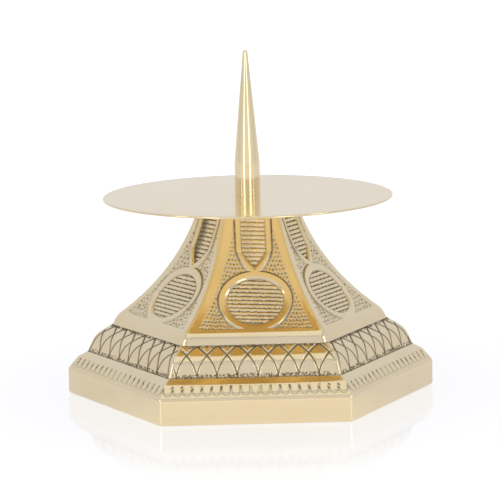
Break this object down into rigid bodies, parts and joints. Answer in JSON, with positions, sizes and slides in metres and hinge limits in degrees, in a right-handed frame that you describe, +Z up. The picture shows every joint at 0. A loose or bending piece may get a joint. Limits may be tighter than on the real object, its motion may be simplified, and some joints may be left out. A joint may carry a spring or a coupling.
{
  "type": "pricket candle stand",
  "caption": "Low altar candle stand: hollow hexagonal brass casting with relief panels and mouldings, flat round drip pan and turned spike, clamped by a stud and nut.",
  "frame": {"origin": "centre of the underside, on the surface that the stand rests on", "axes": "+Z up along the spike, -Y out of one flat face of the hexagon, +X through one corner"},
  "size_m": [0.153, 0.1324, 0.1418],
  "materials": {
    "cast_brass": "polished on the high parts, dark in the recesses",
    "sheet_brass": "polished sheet",
    "turned_brass": "polished turning",
    "zinc_steel": "zinc plated"
  },
  "bodies": {
    "root": {"base_casting": "cast_brass", "drip_pan": "sheet_brass", "pricket_spike": "turned_brass", "tie_stud": "zinc_steel", "flat_washer": "zinc_steel", "spring_washer": "zinc_steel", "hex_nut": "zinc_steel"}
  },
  "joints": []
}
